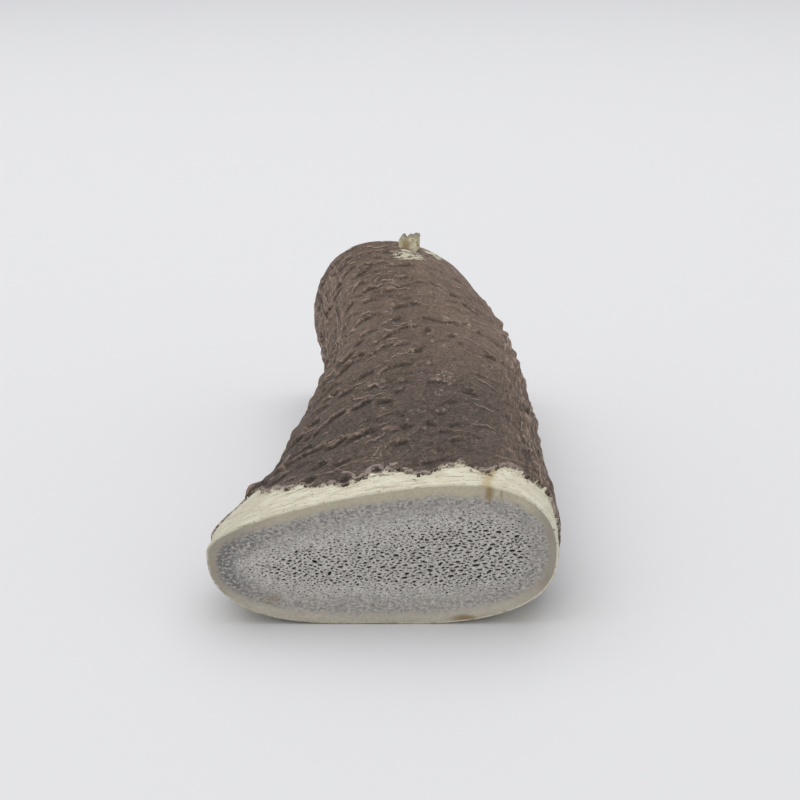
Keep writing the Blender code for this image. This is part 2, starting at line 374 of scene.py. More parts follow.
def relief_maps():
    """Height of the bark in mm over the smooth beam, with how much each place
    is a raised lip, how deep it lies and how pale its chips are, on a map
    that runs round (s, mm from the top line) and along (y).  The lip map is
    painted pale, partly as wear and partly as painted highlight; the depth
    map is painted dark, partly as dirt and partly as painted shade."""
    n_s, n_y = int(GIRTH / MAP_STEP), int(LENGTH / MAP_STEP) + 1
    s_line = (np.arange(n_s) * MAP_STEP) - 0.5 * GIRTH
    y_line = np.arange(n_y) * MAP_STEP
    s, y = np.meshgrid(s_line, y_line, indexing="ij")
    share = s / GIRTH

    # The pattern's own coordinates wander, so that nothing lines up.
    ws = s + 0.9 * skin_noise(s, y, 7, 11, 21) + 0.32 * skin_noise(s, y, 2.3, 3.4, 22)
    wy = y + 1.2 * skin_noise(s, y, 6, 8, 23) + 0.45 * skin_noise(s, y, 2.0, 2.6, 24)

    calm = s + 0.7 * skin_noise(s, y, 9, 22, 25)
    depth = np.zeros_like(s)
    lip = np.zeros_like(s)
    bumps = np.zeros_like(s)

    def window(s0, y0, half_s, before, after, across=None):
        i0 = int((s0 - half_s + 0.5 * GIRTH) / MAP_STEP)
        i1 = int((s0 + half_s + 0.5 * GIRTH) / MAP_STEP) + 1
        j0 = max(0, int((y0 - before) / MAP_STEP))
        j1 = min(n_y, int((y0 + after) / MAP_STEP) + 1)
        if j1 <= j0:
            return None
        rows = np.mod(np.arange(i0, i1), n_s)
        cols = np.arange(j0, j1)
        grid = np.ix_(rows, cols)
        ds = (ws if across is None else across)[grid] - s0
        ds -= GIRTH * np.round(ds / GIRTH)
        return grid, ds, wy[grid] - y0

    def scoop(s0, y0, half, length, deep, bow, lean, lip_size):
        """A shallow scoop with its sharp wall at the far end, bowed away."""
        got = window(s0, y0, half + 2.5, length + bow + 3.5, 3.5)
        if got is None:
            return
        grid, ds, dy = got
        t = dy + bow * (ds / half) ** 2 - lean * ds
        side = np.clip(1 - (ds / half) ** 2, 0, 1) ** 0.62
        ramp = np.clip(1 + t / length, 0, 1) ** 1.7
        wall = 1 - smoothstep(-0.06, 0.34, t)
        depth[grid] = np.maximum(depth[grid], deep * side * ramp * wall)
        brow = np.exp(-((t - 0.40) / 0.26) ** 2) * np.clip(1.35 - (ds / half) ** 2, 0, 1)
        lip[grid] = np.maximum(lip[grid], lip_size * brow)

    def stroke(points, height, width, pale):
        """A long thin ridge through (s, y) points."""
        pts = np.array(points, dtype=float)
        y_from, y_to = pts[:, 1].min(), pts[:, 1].max()
        middle = 0.5 * (pts[:, 0].min() + pts[:, 0].max())
        half = 0.5 * (pts[:, 0].max() - pts[:, 0].min()) + 4 * width + 2
        got = window(middle, y_from, half, 2.0, y_to - y_from + 2.0, calm)
        if got is None:
            return
        grid, ds, dy = got
        along = dy + y_from
        centre = np.interp(along, pts[:, 1], pts[:, 0]) - middle
        ends = smoothstep(y_from - 0.5, y_from + 2.0, along) * (1 - smoothstep(y_to - 2.0, y_to + 0.5, along))
        crest = np.exp(-np.abs((ds - centre) / width) ** 1.4) * ends
        bumps[grid] += height * crest
        lip[grid] = np.maximum(lip[grid], pale * crest ** 2)

    def pearl(s0, y0, half_s, half_y, height, pale):
        got = window(s0, y0, half_s * 2 + 1.5, half_y * 2 + 1.5, half_y * 2 + 1.5)
        if got is None:
            return
        grid, ds, dy = got
        r = np.sqrt((ds / half_s) ** 2 + (dy / half_y) ** 2)
        dome = np.exp(-r ** 2.4)
        bumps[grid] += height * dome
        lip[grid] = np.maximum(lip[grid], pale * np.exp(-(r / 0.75) ** 3))

    rng = np.random.default_rng(404)

    seen = SEEN_AT
    for a, b, half, deep, lean in seen:
        bend = float(np.interp(b, (0, LENGTH), (0.9, 1.5))) * min(1.3, half / 1.8)
        scoop(a, b, half * 1.35, rng.uniform(4.5, 7.0), 0.86 * deep, bend, lean, 1.0)

    # Scoops, on a staggered and jittered lattice.  Each zone has its own size.
    row = 0
    y0 = 3.0
    while y0 < LENGTH + 6:
        row += 1
        s0 = -0.5 * GIRTH + (row % 2) * 1.9
        while s0 < 0.5 * GIRTH - 1.0:
            a = s0 + rng.normal(0, 0.75)
            b = y0 + rng.normal(0, 1.5)
            strip = math.exp(-((a - 2.2) / 4.6) ** 2)
            flank_r = smoothstep(8, 15, np.array(a)) * (1 - smoothstep(44, 52, np.array(a)))
            flank_l = 1 - smoothstep(-30, -20, np.array(a))
            chance = 0.95 - 0.70 * strip - 0.62 * float(flank_r)
            if -32 < a < 12 and b < 58:
                chance *= 0.40        # broad plates, with few ridges between
            half = rng.uniform(1.6, 4.2) * (1 - 0.22 * float(flank_l))
            length = rng.uniform(3.6, 7.5) * (1 + 0.5 * float(flank_l))
            deep = rng.uniform(0.16, 0.74) * (1 - 0.40 * strip - 0.25 * float(flank_r))
            bow = rng.uniform(0.6, 2.4)
            lean = rng.normal(-0.12, 0.25)
            size = rng.uniform(0.15, 1.0)
            clear = min(math.hypot(a - g[0], 0.8 * (b - g[1])) - 0.6 * g[2] for g in seen)
            if rng.random() < chance and clear > 1.5:
                scoop(a, b, half, length, deep, bow, lean, size)
            s0 += 3.5 + 0.8 * rng.random()
        y0 += 5.0 if y0 < 60 else 4.4

    # Long thin ridges that run down the right flank, and fewer on the left.
    for _ in range(64):
        start = rng.uniform(21, 47)
        y_from = rng.uniform(-4, 108)
        reach = rng.uniform(7, 26)
        drift = rng.normal(0.05, 0.05)
        ys = np.linspace(y_from, y_from + reach, 7)
        line = start + drift * (ys - y_from) + np.cumsum(rng.normal(0, 0.22, 7))
        stroke(np.stack((line, ys), 1), rng.uniform(0.12, 0.30), rng.uniform(0.34, 0.55), rng.uniform(0.2, 0.7))
    for _ in range(50):
        start = rng.uniform(-48, -22)
        y_from = rng.uniform(4, 106)
        reach = rng.uniform(6, 20)
        drift = rng.normal(-0.02, 0.06)
        ys = np.linspace(y_from, y_from + reach, 7)
        line = start + drift * (ys - y_from) + np.cumsum(rng.normal(0, 0.25, 7))
        stroke(np.stack((line, ys), 1), rng.uniform(0.12, 0.28), rng.uniform(0.34, 0.55), rng.uniform(0.2, 0.6))

    # Pearls: rounded lumps on both flanks, larger on the right.
    for s_from, s_to, tall in ((19, 50, 0.78), (-52, -24, 0.52)):
        b = 6.0
        while b < LENGTH - 1:
            a = s_from + rng.uniform(0, 4)
            while a < s_to:
                if rng.random() < 0.72:
                    grown = 0.35 + 0.65 * float(smoothstep(12, 45, np.array(b)))
                    pearl(a + rng.normal(0, 0.9), b + rng.normal(0, 1.0), rng.uniform(0.8, 1.5),
                          rng.uniform(1.1, 2.1), tall * grown * rng.uniform(0.35, 1.0), rng.uniform(0.0, 0.5))
                a += rng.uniform(3.4, 5.2)
            b += rng.uniform(3.6, 5.4)

    # Two lumps where the left flank meets the scraped band.
    pearl(-27.6, 23.0, 1.7, 1.9, 1.05, 0.3)
    pearl(-28.5, 28.5, 1.5, 1.8, 0.75, 0.3)

    # Small knobs scattered along the smoother strip on top.
    for _ in range(46):
        pearl(rng.normal(3.5, 5.5), rng.uniform(14, LENGTH - 6), rng.uniform(0.25, 0.55),
              rng.uniform(0.35, 0.9), rng.uniform(0.16, 0.42), rng.uniform(0.5, 1.0))

    # Nicks and little crescents between the scoops.
    for _ in range(300):
        scoop(rng.uniform(-0.5, 0.5) * GIRTH, rng.uniform(5, LENGTH), rng.uniform(0.8, 1.5),
              rng.uniform(1.2, 2.8), rng.uniform(0.12, 0.34), rng.uniform(0.1, 0.8), rng.normal(0, 0.3), 0.0)

    # Broad swells and the fine grain that runs along the beam.
    swell = 0.22 * skin_noise(s, y, 10, 16, 31) + 0.12 * skin_noise(s, y, 5.0, 9.0, 32)
    grain = 0.045 * skin_noise(ws, y, 0.9, 5.0, 33) + 0.035 * skin_noise(ws, wy, 0.6, 1.1, 34)
    plates = 0.09 * skin_noise(ws, wy, 1.7, 2.4, 35)
    lip *= 1 - smoothstep(0.10, 0.26, depth)
    height = swell + grain + plates - depth + 0.20 * lip + bumps

    # It is worn smoother below, where the piece would be handled and lies.
    under = 1 - 0.55 * smoothstep(0.36, 0.46, np.abs(share))
    height *= under

    # Crests painted pale, partly rubbed wear and partly painted highlight, and
    # hollows painted dark, partly dirt and partly painted shade: each place
    # against its surroundings.
    fine = blur(height, 0.19)
    rise = fine - blur(height, 0.70)
    crest = np.clip((rise - 0.015) / 0.10, 0, 1)
    hollow = fine - blur(height, 0.46)
    low = blur(np.clip((-hollow - 0.012) / 0.10, 0, 1), 0.10)
    # Painted shade and dirt also deepen over each scoop's floor.
    low = np.maximum(low, 0.42 * np.clip(blur(depth, 0.3) / 0.55, 0, 1) ** 1.3)
    lip = blur(np.clip(0.95 * crest ** 1.8 + 0.35 * lip * crest, 0, 1), 0.08)
    return s_line, y_line, fine, lip, low


S_LINE, Y_LINE, HEIGHT, LIP, SHADE_AND_DIRT = relief_maps()


def read_map(field, share, y):
    n_s, n_y = field.shape
    fs = np.mod(share + 0.5, 1.0) * n_s
    fy = np.clip(y / MAP_STEP, 0, n_y - 1.001)
    i, j = np.floor(fs).astype(int), np.floor(fy).astype(int)
    rs, ry = fs - i, fy - j
    i0, i1 = np.mod(i, n_s), np.mod(i + 1, n_s)
    return ((field[i0, j] * (1 - rs) + field[i1, j] * rs) * (1 - ry)
            + (field[i0, j + 1] * (1 - rs) + field[i1, j + 1] * rs) * ry)


# ------------------------------------------------------------------- the mesh
def column_shares():
    """Closer together on top and on the flanks than underneath."""
    fine = np.linspace(-0.5, 0.5, 4001)
    density = 1.0 - 0.52 * smoothstep(0.28, 0.37, np.abs(fine))
    walked = np.concatenate(([0], np.cumsum(0.5 * (density[1:] + density[:-1]))))
    targets = np.arange(COLUMNS) / COLUMNS * walked[-1]
    return np.interp(targets, walked, fine)


def side_grid():
    """Positions and values of every ring, from the front rim to the back."""
    share = column_shares()
    edge, smooth_edge = bark_edge(share)
    ys, insets, kinds = [], [], []
    for y in (0.0, 0.05, 0.13, 0.24):
        ys.append(np.full(COLUMNS, y))
        insets.append(RIM_ROUND - math.sqrt(max(RIM_ROUND**2 - (RIM_ROUND - y) ** 2, 0)))
        kinds.append(0)
    for k in range(BAND_ROWS):
        t = k / (BAND_ROWS - 1)
        ys.append(RIM_ROUND + (edge - 0.14 - RIM_ROUND) * t)
        insets.append(0.0)
        kinds.append(0)
    for k in range(BARK_ROWS):
        t = k / (BARK_ROWS - 1)
        t = t * (0.86 + 0.14 * t)
        base = smooth_edge + 0.14 + (LENGTH - EDGE_BACK - smooth_edge - 0.14) * t
        ys.append(base + (edge - smooth_edge) * np.exp(-(base - smooth_edge - 0.14) / 5.0) * (1 - t))
        insets.append(0.0)
        kinds.append(1)
    ys.append(np.full(COLUMNS, LENGTH - 0.08))
    insets.append(0.5 * EDGE_BACK)
    kinds.append(1)
    ys.append(np.full(COLUMNS, LENGTH))
    insets.append(EDGE_BACK)
    kinds.append(1)

    y = np.array(ys)
    inset = np.array(insets)[:, None]
    bark = np.array(kinds, dtype=float)[:, None]
    shares = np.broadcast_to(share, y.shape)
    edge_d = y - edge[None, :]
    at = smooth_point(shares, y, -inset)
    step_s, step_y = 0.002, 0.4
    across = smooth_point(shares + step_s, y) - smooth_point(shares - step_s, y)
    along = smooth_point(shares, np.clip(y + step_y, 0, LENGTH)) - smooth_point(shares, np.clip(y - step_y, 0, LENGTH))
    normal = np.cross(across, along)
    normal /= np.linalg.norm(normal, axis=-1, keepdims=True)

    relief = read_map(HEIGHT, shares, y)
    lip = read_map(LIP, shares, y)
    low = read_map(SHADE_AND_DIRT, shares, y)
    s = shares * GIRTH
    rim = smoothstep(0.3, 1.2, y)
    # The scraped band lies a little below the bark and keeps traces of it.
    band = (-0.30 * smoothstep(0.5, 3.5, y) + rim * (
        0.05 * skin_noise(s, y, 3.2, 2.2, 41) + 0.03 * skin_noise(s, y, 4.0, 0.7, 42)
        + 0.02 * skin_noise(s, y, 0.9, 0.6, 43)))
    lifted = np.exp(-np.clip(edge_d, 0, 99) / 0.8) * (0.5 + 0.5 * skin_noise(s, np.zeros_like(s), 2.1, 1.0, 44))
    near = smoothstep(0.0, 2.5, edge_d)
    over = relief * (0.45 + 0.55 * near) + 0.16 * lifted
    back = smoothstep(0.0, 1.6, LENGTH - y)
    over = over * (0.35 + 0.65 * back)
    peel = np.exp(-(near_line(s, y, PEEL_AT) / 0.42) ** 2)
    over = over + 0.14 * peel
    grow = np.where(bark > 0, over, band)
    # The broad cut is a little rounder low on its left and fuller on its right.
    bulge = GIRTHS.share_of(2.0, 3.0) * GIRTH
    grow = grow + 0.45 * np.exp(-((s - bulge) / 6.5) ** 2) * np.exp(-(y / 6.0) ** 2)
    grow = grow - 0.32 * np.exp(-((s + 35.5) / 4.2) ** 2) * np.exp(-(y / 13.0) ** 2)
    level = at[:4, :, 1].copy()
    at = at + normal * grow[..., None]
    at[:4, :, 1] = level          # the cut stays flat

    turn = shares * 2 * math.pi
    radius = GIRTH / (2 * math.pi)
    skin = np.stack((radius * np.sin(turn), radius * np.cos(turn), y), axis=-1)
    chip = (1.1 * np.exp(-((s - 0.6) / 3.8) ** 2) * smoothstep(103.6, 106.0, y) * (1 - smoothstep(110.0, 111.6, y))
            + 0.9 * np.exp(-((s - 7.8) / 3.4) ** 2) * smoothstep(111.5, 115.5, y)
            + 0.55 * smoothstep(117.0, 117.9, y))
    # lip: crests painted pale, partly wear and partly painted highlight; low: painted shade and dirt in the hollows.
    values = {
        "along": y,
        "edge_d": edge_d,
        "lip": np.where(bark > 0, np.clip(lip + 0.55 * lifted * (edge_d < 1.2), 0, 1), 0.0),
        "low": np.where(bark > 0, low, 0.0),
        "chip": chip,
        "around": s,
        "peel": np.where(bark > 0, peel, 0.0),
        "fleck": sum(np.exp(-((s - f[0]) / f[2]) ** 2 - ((y - f[1]) / (2.0 * f[2])) ** 2) for f in FLECKS_AT),
    }
    return at, skin, values, share


def inside_polygon(points, polygon):
    x, y = points[:, 0][:, None], points[:, 1][:, None]
    x0, y0 = polygon[:, 0][None], polygon[:, 1][None]
    x1, y1 = np.roll(polygon[:, 0], -1)[None], np.roll(polygon[:, 1], -1)[None]
    crosses = ((y0 > y) != (y1 > y)) & (x < (x1 - x0) * (y - y0) / (y1 - y0 + 1e-12) + x0)
    return (crosses.sum(axis=1) % 2) == 1


def edge_distance(points, polygon):
    """Distance to the outline, and the index of the nearest corner."""
    a = polygon[None]
    b = np.roll(polygon, -1, axis=0)[None]
    ab = b - a
    best = np.empty(len(points))
    which = np.empty(len(points), dtype=int)
    for start in range(0, len(points), 4000):
        part = points[start:start + 4000, None]
        t = np.clip(((part - a) * ab).sum(-1) / (ab * ab).sum(-1), 0, 1)
        d = np.linalg.norm(part - (a + t[..., None] * ab), axis=-1)
        which[start:start + 4000] = d.argmin(axis=1)
        best[start:start + 4000] = d.min(axis=1)
    return best, which


def pore_layout(outline, size, count, crowds, seed, clear):
    """Centres and half sizes of the open pores, by throwing darts that keep
    their distance.  crowds are (x, z, spread x, spread z, how strong)."""
    rng = np.random.default_rng(seed)
    low, high = outline.min(axis=0), outline.max(axis=0)
    tries = rng.uniform(low, high, (count * 60, 2))
    distance, _ = edge_distance(tries, outline)
    distance = distance + 1.3 * smoothstep(11.0, 20.0, tries[:, 0])
    keep = inside_polygon(tries, outline) & (distance > clear)
    tries, distance = tries[keep], distance[keep]
    crowd = np.zeros(len(tries))
    for x, z, sx, sz, strong in crowds:
        crowd += strong * np.exp(-0.5 * ((tries[:, 0] - x) / sx) ** 2 - 0.5 * ((tries[:, 1] - z) / sz) ** 2)
    inner = smoothstep(clear, clear + 4.0, distance)
    crowd = np.clip(crowd, 0, 1.12) * inner
    picked = []
    cell = {}
    chance = rng.random(len(tries))
    for k, (x, z) in enumerate(tries):
        c = crowd[k]
        gap = size * (1.44 - 0.84 * c)
        if chance[k] > 0.35 + 0.75 * c ** 0.5 * inner[k]:
            continue
        wide = size * (0.26 + 0.44 * c) * (0.60 + 0.80 * rng.random() ** 1.5)
        tall = wide * rng.uniform(0.30, 0.56)
        i, j = int(x // 2.4), int(z // 2.4)
        clash = False
        for di in (-1, 0, 1):
            for dj in (-1, 0, 1):
                for other in cell.get((i + di, j + dj), ()):
                    room = max(0.5 * (gap + other[4]), 1.06 * (wide + other[2]) + 0.05)
                    if math.hypot(x - other[0], (z - other[1]) * 1.75) < room:
                        clash = True
                        break
                if clash:
                    break
            if clash:
                break
        if clash:
            continue
        pore = (x, z, wide, tall, gap, c)
        cell.setdefault((i, j), []).append(pore)
        picked.append(pore)
        if len(picked) >= count:
            break
    return picked


def pore_outline(rng, x, z, wide, tall, sides):
    turn = np.arange(sides) / sides * 2 * math.pi + rng.uniform(0, 1)
    radius = 1 + rng.uniform(-0.24, 0.20, sides)
    px, pz = wide * radius * np.cos(turn), tall * radius * np.sin(turn)
    lean = rng.normal(0.10, 0.28)
    c, s = math.cos(lean), math.sin(lean)
    return np.stack((x + c * px - s * pz, z + s * px + c * pz), axis=1)


RIM_THICKNESS = (   # (share of the way round, mm of dense pale rim)
    (-0.50, 1.45), (-0.36, 1.65), (-0.26, 1.2), (-0.12, 1.35), (0.0, 1.5), (0.10, 1.9),
    (0.20, 1.4), (0.30, 1.6), (0.40, 2.0), (0.50, 1.45),
)


def cut_surface(ring, ring_share, y_plane, inward, pores, sides, fill, deep, seed):
    """Flat cut between the ring's points with its pores let in.
    Returns new vertices, triangles (ring corners are 0 .. n-1) and values."""
    rng = np.random.default_rng(seed)
    n = len(ring)
    coords = [tuple(p) for p in ring]
    edges = [(i, (i + 1) % n) for i in range(n)]
    owner = [-1] * n
    outlines = []
    for k, (x, z, wide, tall, _gap, _c) in enumerate(pores):
        outline = pore_outline(rng, x, z, wide, tall, sides)
        first = len(coords)
        coords.extend(tuple(p) for p in outline)
        owner.extend([k] * sides)
        edges.extend((first + i, first + (i + 1) % sides) for i in range(sides))
        outlines.append((first, outline))
    low, high = ring.min(axis=0), ring.max(axis=0)
    grid = []
    row = 0
    z = low[1]
    while z < high[1]:
        row += 1
        x = low[0] + (row % 2) * 0.5 * fill
        while x < high[0]:
            grid.append((x, z))
            x += fill
        z += fill * 0.87
    grid = np.array(grid) + rng.uniform(-0.16, 0.16, (len(grid), 2)) * fill
    distance, _ = edge_distance(grid, ring)
    keep = inside_polygon(grid, ring) & (distance > 0.4 * fill)
    grid = grid[keep]
    if len(pores):
        table = np.array([(p[0], p[1], p[2], p[3]) for p in pores])
        clear = np.ones(len(grid), dtype=bool)
        for start in range(0, len(grid), 2000):
            part = grid[start:start + 2000, None]
            reach = np.hypot((part[..., 0] - table[None, :, 0]) / (table[None, :, 2] + 0.22),
                             (part[..., 1] - table[None, :, 1]) / (table[None, :, 3] + 0.22))
            clear[start:start + 2000] = reach.min(axis=1) > 1.0
        grid = grid[clear]
    coords.extend(tuple(p) for p in grid)
    owner.extend([-1] * len(grid))

    made, _edges, faces, originals, _oe, _of = delaunay_2d_cdt([Vector(c) for c in coords], edges, [], 1, 1e-6)
    to_input = [o[0] if o else -1 for o in originals]
    position = {}
    points = []              # every vertex after the ring's own, as (x, y, z)
    pore_value = []
    index = {}

    def add(x, y, z, value):
        points.append((x, y, z))
        pore_value.append(value)
        return n + len(points) - 1

    for m, source in enumerate(to_input):
        if 0 <= source < n:
            index[m] = source
        else:
            index[m] = add(made[m][0], y_plane, made[m][1], 0.0)
        if source >= 0:
            position[source] = index[m]
    triangles = []
    for face in faces:
        a, b, c = face
        oa, ob, oc = (owner[to_input[v]] if to_input[v] >= 0 else -1 for v in face)
        if oa >= 0 and oa == ob == oc:
            centre = np.array([[sum(made[v][0] for v in face) / 3, sum(made[v][1] for v in face) / 3]])
            if inside_polygon(centre, outlines[oa][1])[0]:
                continue
        triangles.append((index[a], index[b], index[c]))
    for k, (first, outline) in enumerate(outlines):
        x, z, wide, tall, _gap, c = pores[k]
        depth = inward * deep * (0.45 + 0.65 * c) * min(1.0, tall / 0.2) * rng.uniform(0.7, 1.2)
        floor = [add(x + 0.62 * (p[0] - x), y_plane + depth, z + 0.62 * (p[1] - z), 1.0) for p in outline]
        hub = add(x, y_plane + depth * 1.12, z, 1.0)
        mouth = [position[first + i] for i in range(sides)]
        for i in range(sides):
            j = (i + 1) % sides
            triangles.append((mouth[i], mouth[j], floor[j]))
            triangles.append((mouth[i], floor[j], floor[i]))
            triangles.append((floor[i], floor[j], hub))
    points = np.array(points)
    everything = np.concatenate((np.stack((ring[:, 0], np.full(n, y_plane), ring[:, 1]), axis=1), points))
    rim_d, nearest = edge_distance(everything[:, [0, 2]], ring)
    shares = np.array([k[0] for k in RIM_THICKNESS])
    thick = np.interp(ring_share[nearest], shares, [k[1] for k in RIM_THICKNESS])
    return points, triangles, {
        "rim_d": rim_d,
        "ring_t": rim_d / thick,
        "pore": np.concatenate((np.zeros(n), pore_value)),
        "flat": everything,
    }


def add_vector_attribute(mesh, name, data):
    layer = mesh.attributes.new(name, "FLOAT_VECTOR", "POINT")
    layer.data.foreach_set("vector", np.ascontiguousarray(data, dtype=np.float32).ravel())


def add_float_attribute(mesh, name, data):
    layer = mesh.attributes.new(name, "FLOAT", "POINT")
    layer.data.foreach_set("value", np.ascontiguousarray(data, dtype=np.float32).ravel())


def build_antler():
    at, skin, values, share = side_grid()
    rows = at.shape[0]
    verts = [at.reshape(-1, 3)]
    total = rows * COLUMNS

    i = np.arange(rows - 1)[:, None] * COLUMNS
    j = np.arange(COLUMNS)[None]
    k = (j + 1) % COLUMNS
    # Front is row 0 and the share runs to the right over the top.
    quads = np.stack((i + j, i + COLUMNS + j, i + COLUMNS + k, i + k), axis=-1).reshape(-1, 4)

    front_ring = at[0][:, [0, 2]]
    back_ring = at[-1][:, [0, 2]]
    front_pores = pore_layout(front_ring, 0.61, 1500, (
        (15.6, 13.0, 5.8, 4.4, 1.25), (-15.0, 9.6, 5.2, 2.9, 0.80), (4.5, 10.6, 7.5, 4.2, 0.62),
        (-5.0, 9.6, 8.0, 3.8, 0.42), (9.0, 7.5, 6.0, 3.0, 0.4)), 71, 4.2)
    back_pores = pore_layout(back_ring, 1.25, 220, (
        (0.0, 17.0, 6.5, 6.0, 0.9), (-6.0, 13.0, 5.0, 4.5, 0.5)), 72, 4.5)
    front = cut_surface(front_ring, share, 0.0, 1.0, front_pores, 7, 0.92, 0.70, 73)
    back = cut_surface(back_ring, share, LENGTH, -1.0, back_pores, 7, 1.05, 0.9, 74)

    faces = [tuple(q) for q in quads]
    material = [0] * len(faces)
    for (points, triangles, _v), first_row, turn_round in (
            (front, 0, False), (back, rows - 1, True)):
        base = total
        for tri in triangles:
            mapped = [first_row * COLUMNS + v if v < COLUMNS else base + v - COLUMNS for v in tri]
            faces.append(tuple(reversed(mapped)) if turn_round else tuple(mapped))
            material.append(1)
        verts.append(points)
        total += len(points)
    co = to_world(np.concatenate(verts))
    co[:, 2] = np.maximum(co[:, 2], 0.0)

    n_side = rows * COLUMNS
    n_front, n_back = len(front[0]), len(back[0])
    floats = {name: np.concatenate((field.ravel(), np.zeros(n_front + n_back))) for name, field in values.items()}
    for name in ("rim_d", "ring_t", "pore"):
        field = np.zeros(total)
        field[:COLUMNS] = front[2][name][:COLUMNS]
        field[n_side - COLUMNS:n_side] = back[2][name][:COLUMNS]
        field[n_side:n_side + n_front] = front[2][name][COLUMNS:]
        field[n_side + n_front:] = back[2][name][COLUMNS:]
        floats[name] = field
    flat = np.zeros((total, 3))
    flat[:n_side] = at.reshape(-1, 3)
    flat[n_side:n_side + n_front] = front[0]
    flat[n_side + n_front:] = back[0]
    skin_all = np.concatenate((skin.reshape(-1, 3), flat[n_side:]))

    mesh = bpy.data.meshes.new("antler_visual")
    mesh.from_pydata((co * MM).tolist(), [], [tuple(int(v) for v in f) for f in faces])
    mesh.polygons.foreach_set("material_index", material)
    for name, field in floats.items():
        add_float_attribute(mesh, name, field)
    add_vector_attribute(mesh, "skin", skin_all)
    add_vector_attribute(mesh, "flat", flat)
    bm = bmesh.new()
    bm.from_mesh(mesh)
    bmesh.ops.recalc_face_normals(bm, faces=bm.faces)
    bm.to_mesh(mesh)
    bm.free()
    mesh.shade_smooth()
    mesh.set_sharp_from_angle(angle=math.radians(44))
    mesh.validate()
    obj = bpy.data.objects.new("antler_visual", mesh)
    bpy.context.scene.collection.objects.link(obj)
    return obj, len(front_pores), len(back_pores)


# ------------------------------------------------------------------ materials
class Tree:
    """Short names for building a node tree."""

    def __init__(self, material):
        material.use_nodes = True
        self.tree = material.node_tree
        self.tree.nodes.clear()

    def node(self, kind, **settings):
        made = self.tree.nodes.new(kind)
        for key, value in settings.items():
            setattr(made, key, value)
        return made

    def link(self, value, socket):
        if isinstance(value, bpy.types.NodeSocket):
            self.tree.links.new(value, socket)
        else:
            socket.default_value = value

    def number(self, name):
        return self.node("ShaderNodeAttribute", attribute_name=name).outputs["Fac"]

    def vector(self, name):
        return self.node("ShaderNodeAttribute", attribute_name=name).outputs["Vector"]

    def stretch(self, vector, scale):
        made = self.node("ShaderNodeVectorMath", operation="MULTIPLY")
        self.link(vector, made.inputs[0])
        made.inputs[1].default_value = scale
        return made.outputs[0]

    def shift(self, vector, by, amount):
        """vector moved by a colour noise of the given amount."""
        centred = self.node("ShaderNodeVectorMath", operation="SUBTRACT")
        self.link(by, centred.inputs[0])
        centred.inputs[1].default_value = (0.5, 0.5, 0.5)
        scaled = self.node("ShaderNodeVectorMath", operation="SCALE")
        self.link(centred.outputs[0], scaled.inputs[0])
        scaled.inputs["Scale"].default_value = amount
        added = self.node("ShaderNodeVectorMath", operation="ADD")
        self.link(vector, added.inputs[0])
        self.link(scaled.outputs[0], added.inputs[1])
        return added.outputs[0]

    def noise(self, vector, scale, detail=3.0, rough=0.55, colour=False):
        made = self.node("ShaderNodeTexNoise")
        self.link(vector, made.inputs["Vector"])
        made.inputs["Scale"].default_value = scale
        made.inputs["Detail"].default_value = detail
        made.inputs["Roughness"].default_value = rough
        return made.outputs["Color" if colour else "Fac"]

    def cells(self, vector, scale, feature="F1", randomness=1.0):
        made = self.node("ShaderNodeTexVoronoi", feature=feature)
        self.link(vector, made.inputs["Vector"])
        made.inputs["Scale"].default_value = scale
        made.inputs["Randomness"].default_value = randomness
        return made.outputs["Distance"]

    def math(self, operation, a, b=0.0, clamp=False):
        made = self.node("ShaderNodeMath", operation=operation, use_clamp=clamp)
        self.link(a, made.inputs[0])
        self.link(b, made.inputs[1])
        return made.outputs[0]

    def add(self, a, b):
        return self.math("ADD", a, b)

    def times(self, a, b):
        return self.math("MULTIPLY", a, b)

    def ramp(self, value, low, high, to_low=0.0, to_high=1.0):
        made = self.node("ShaderNodeMapRange", interpolation_type="SMOOTHSTEP", clamp=True)
        self.link(value, made.inputs["Value"])
        made.inputs["From Min"].default_value = low
        made.inputs["From Max"].default_value = high
        made.inputs["To Min"].default_value = to_low
        made.inputs["To Max"].default_value = to_high
        return made.outputs["Result"]

    def mix(self, share, a, b, blend="MIX"):
        made = self.node("ShaderNodeMix", data_type="RGBA", blend_type=blend)
        sockets = [s for s in made.inputs if s.type == "RGBA"]
        self.link(share, made.inputs["Factor"])
        for value, socket in ((a, sockets[0]), (b, sockets[1])):
            if isinstance(value, tuple):
                socket.default_value = (*value, 1.0)
            else:
                self.link(value, socket)
        return [s for s in made.outputs if s.type == "RGBA"][0]

    def scale_colour(self, colour, amount):
        made = self.node("ShaderNodeVectorMath", operation="SCALE")
        self.link(colour, made.inputs[0])
        self.link(amount, made.inputs["Scale"])
        return made.outputs[0]

    def bump(self, height, distance, strength=1.0, normal=None):
        made = self.node("ShaderNodeBump")
        made.inputs["Strength"].default_value = strength
        made.inputs["Distance"].default_value = distance
        self.link(height, made.inputs["Height"])
        if normal is not None:
            self.link(normal, made.inputs["Normal"])
        return made.outputs["Normal"]

    def finish(self, colour, roughness, normal, **plain):
        shader = self.node("ShaderNodeBsdfPrincipled")
        self.link(colour, shader.inputs["Base Color"])
        self.link(roughness, shader.inputs["Roughness"])
        self.link(normal, shader.inputs["Normal"])
        for name, value in plain.items():
            shader.inputs[name.replace("_", " ")].default_value = value
        out = self.node("ShaderNodeOutputMaterial")
        self.tree.links.new(shader.outputs["BSDF"], out.inputs["Surface"])


